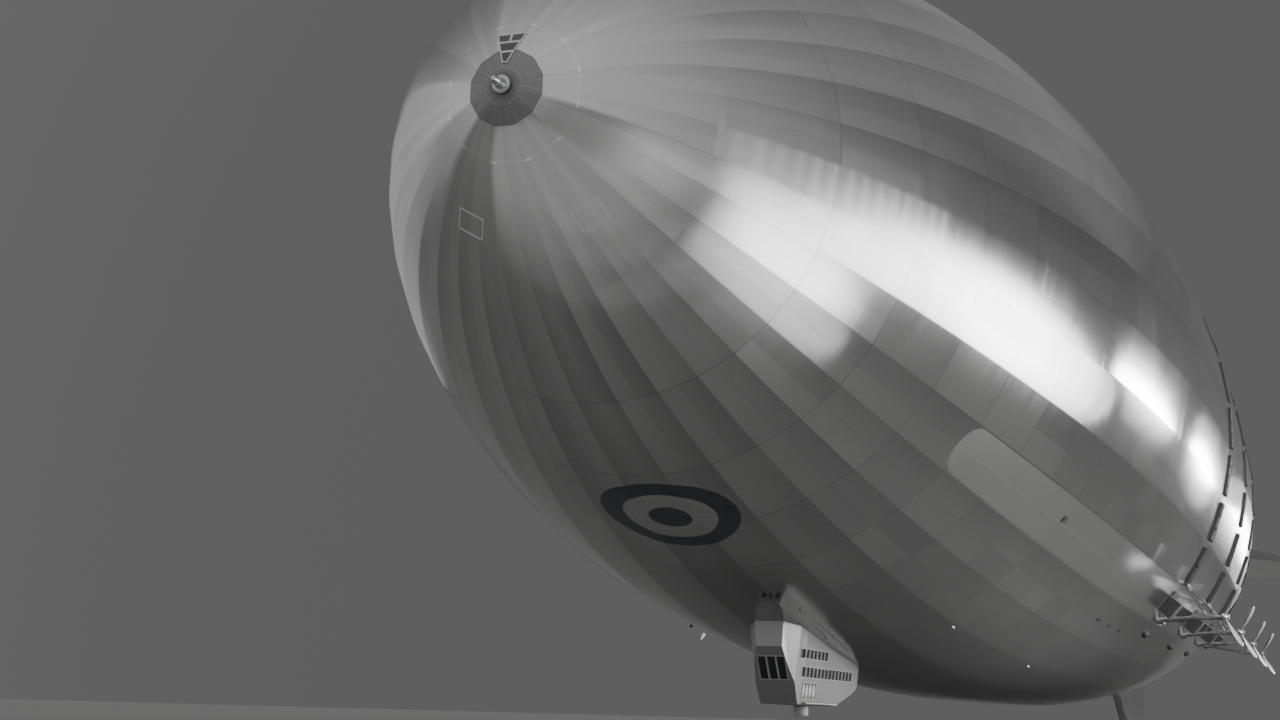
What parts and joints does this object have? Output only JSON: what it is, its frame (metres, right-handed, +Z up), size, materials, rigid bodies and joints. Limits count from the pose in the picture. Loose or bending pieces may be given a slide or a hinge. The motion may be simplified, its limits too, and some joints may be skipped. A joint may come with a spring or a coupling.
{
  "type": "rigid airship, 1:10 scale model",
  "caption": "One-tenth scale rigid airship with a polygonal fabric hull, tilting propellers on outriggers, cross tail with rudders and elevators, and a control car.",
  "frame": {"origin": "centre of buoyancy on the hull's axis, 10.8 m behind the nose of the hull", "axes": "+X forward to the nose, +Y to port, +Z up"},
  "size_m": [23.927, 4.465, 4.465],
  "materials": {
    "doped_fabric": "satin aluminium dope",
    "nose_metal": "dull bare metal",
    "dark_cooler": "matt black",
    "strut_metal": "satin",
    "propeller_metal": "polished",
    "car_metal": "aluminium paint",
    "glass": "clear",
    "bumper_canvas": "canvas"
  },
  "bodies": {
    "hull": {"nose_cap": "nose_metal", "hull_bow": "doped_fabric", "hull_fore_1": "doped_fabric", "hull_fore_2": "doped_fabric", "hull_mid_1": "doped_fabric", "hull_mid_2": "doped_fabric", "hull_aft_1": "doped_fabric", "hull_aft_2": "doped_fabric", "tail_cone": "doped_fabric", "mooring_cone": "strut_metal", "control_car": "car_metal", "control_car_glazing": "glass", "car_bumper": "bumper_canvas", "fin_top": "doped_fabric", "fin_starboard": "doped_fabric", "fin_bottom": "doped_fabric", "fin_port": "doped_fabric", "cooler_p1": "dark_cooler", "cooler_p2": "dark_cooler", "cooler_p3": "dark_cooler", "cooler_p4": "dark_cooler", "cooler_s1": "dark_cooler", "cooler_s2": "dark_cooler", "cooler_s3": "dark_cooler", "cooler_s4": "dark_cooler", "outrigger_p1": "strut_metal", "outrigger_p2": "strut_metal", "outrigger_p3": "strut_metal", "outrigger_p4": "strut_metal", "outrigger_s1": "strut_metal", "outrigger_s2": "strut_metal", "outrigger_s3": "strut_metal", "outrigger_s4": "strut_metal"},
    "gearbox_p1": {"gearbox_p1": "strut_metal"},
    "propeller_p1": {"propeller_p1": "propeller_metal"},
    "gearbox_p2": {"gearbox_p2": "strut_metal"},
    "propeller_p2": {"propeller_p2": "propeller_metal"},
    "gearbox_p3": {"gearbox_p3": "strut_metal"},
    "propeller_p3": {"propeller_p3": "propeller_metal"},
    "gearbox_p4": {"gearbox_p4": "strut_metal"},
    "propeller_p4": {"propeller_p4": "propeller_metal"},
    "gearbox_s1": {"gearbox_s1": "strut_metal"},
    "propeller_s1": {"propeller_s1": "propeller_metal"},
    "gearbox_s2": {"gearbox_s2": "strut_metal"},
    "propeller_s2": {"propeller_s2": "propeller_metal"},
    "gearbox_s3": {"gearbox_s3": "strut_metal"},
    "propeller_s3": {"propeller_s3": "propeller_metal"},
    "gearbox_s4": {"gearbox_s4": "strut_metal"},
    "propeller_s4": {"propeller_s4": "propeller_metal"},
    "rudder_top": {"rudder_top": "doped_fabric"},
    "rudder_bottom": {"rudder_bottom": "doped_fabric"},
    "elevator_port": {"elevator_port": "doped_fabric"},
    "elevator_starboard": {"elevator_starboard": "doped_fabric"}
  },
  "joints": [
    {"name": "tilt_p1", "type": "hinge", "parent": "hull", "child": "gearbox_p1", "pos_m": [2.333, 1.935, -1.38], "axis": [0, 1, 0], "range_deg": [0, 90]},
    {"name": "spin_p1", "type": "hinge", "parent": "gearbox_p1", "child": "propeller_p1", "pos_m": [2.395, 1.935, -1.38], "axis": [1, 0, 0], "continuous": true},
    {"name": "tilt_p2", "type": "hinge", "parent": "hull", "child": "gearbox_p2", "pos_m": [0.083, 1.935, -1.38], "axis": [0, 1, 0], "range_deg": [0, 90]},
    {"name": "spin_p2", "type": "hinge", "parent": "gearbox_p2", "child": "propeller_p2", "pos_m": [0.145, 1.935, -1.38], "axis": [1, 0, 0], "continuous": true},
    {"name": "tilt_p3", "type": "hinge", "parent": "hull", "child": "gearbox_p3", "pos_m": [-2.167, 1.935, -1.38], "axis": [0, 1, 0], "range_deg": [0, 90]},
    {"name": "spin_p3", "type": "hinge", "parent": "gearbox_p3", "child": "propeller_p3", "pos_m": [-2.105, 1.935, -1.38], "axis": [1, 0, 0], "continuous": true},
    {"name": "tilt_p4", "type": "hinge", "parent": "hull", "child": "gearbox_p4", "pos_m": [-4.417, 1.935, -1.38], "axis": [0, 1, 0], "range_deg": [0, 90]},
    {"name": "spin_p4", "type": "hinge", "parent": "gearbox_p4", "child": "propeller_p4", "pos_m": [-4.355, 1.935, -1.38], "axis": [1, 0, 0], "continuous": true},
    {"name": "tilt_s1", "type": "hinge", "parent": "hull", "child": "gearbox_s1", "pos_m": [2.333, -1.935, -1.38], "axis": [0, 1, 0], "range_deg": [0, 90]},
    {"name": "spin_s1", "type": "hinge", "parent": "gearbox_s1", "child": "propeller_s1", "pos_m": [2.395, -1.935, -1.38], "axis": [1, 0, 0], "continuous": true},
    {"name": "tilt_s2", "type": "hinge", "parent": "hull", "child": "gearbox_s2", "pos_m": [0.083, -1.935, -1.38], "axis": [0, 1, 0], "range_deg": [0, 90]},
    {"name": "spin_s2", "type": "hinge", "parent": "gearbox_s2", "child": "propeller_s2", "pos_m": [0.145, -1.935, -1.38], "axis": [1, 0, 0], "continuous": true},
    {"name": "tilt_s3", "type": "hinge", "parent": "hull", "child": "gearbox_s3", "pos_m": [-2.167, -1.935, -1.38], "axis": [0, 1, 0], "range_deg": [0, 90]},
    {"name": "spin_s3", "type": "hinge", "parent": "gearbox_s3", "child": "propeller_s3", "pos_m": [-2.105, -1.935, -1.38], "axis": [1, 0, 0], "continuous": true},
    {"name": "tilt_s4", "type": "hinge", "parent": "hull", "child": "gearbox_s4", "pos_m": [-4.417, -1.935, -1.38], "axis": [0, 1, 0], "range_deg": [0, 90]},
    {"name": "spin_s4", "type": "hinge", "parent": "gearbox_s4", "child": "propeller_s4", "pos_m": [-4.355, -1.935, -1.38], "axis": [1, 0, 0], "continuous": true},
    {"name": "rudder_top_hinge", "type": "hinge", "parent": "hull", "child": "rudder_top", "pos_m": [-10.75, 0, 1.5], "axis": [0, 0, 1], "range_deg": [-25, 25]},
    {"name": "rudder_bottom_hinge", "type": "hinge", "parent": "hull", "child": "rudder_bottom", "pos_m": [-10.75, 0, -1.5], "axis": [0, 0, 1], "range_deg": [-25, 25]},
    {"name": "elevator_port_hinge", "type": "hinge", "parent": "hull", "child": "elevator_port", "pos_m": [-10.75, 1.5, 0], "axis": [0, 1, 0], "range_deg": [-25, 25]},
    {"name": "elevator_starboard_hinge", "type": "hinge", "parent": "hull", "child": "elevator_starboard", "pos_m": [-10.75, -1.5, 0], "axis": [0, 1, 0], "range_deg": [-25, 25]}
  ],
  "couplings": [
    {"joint": "rudder_bottom_hinge", "follows": "rudder_top_hinge", "ratio": 1},
    {"joint": "elevator_starboard_hinge", "follows": "elevator_port_hinge", "ratio": 1}
  ]
}
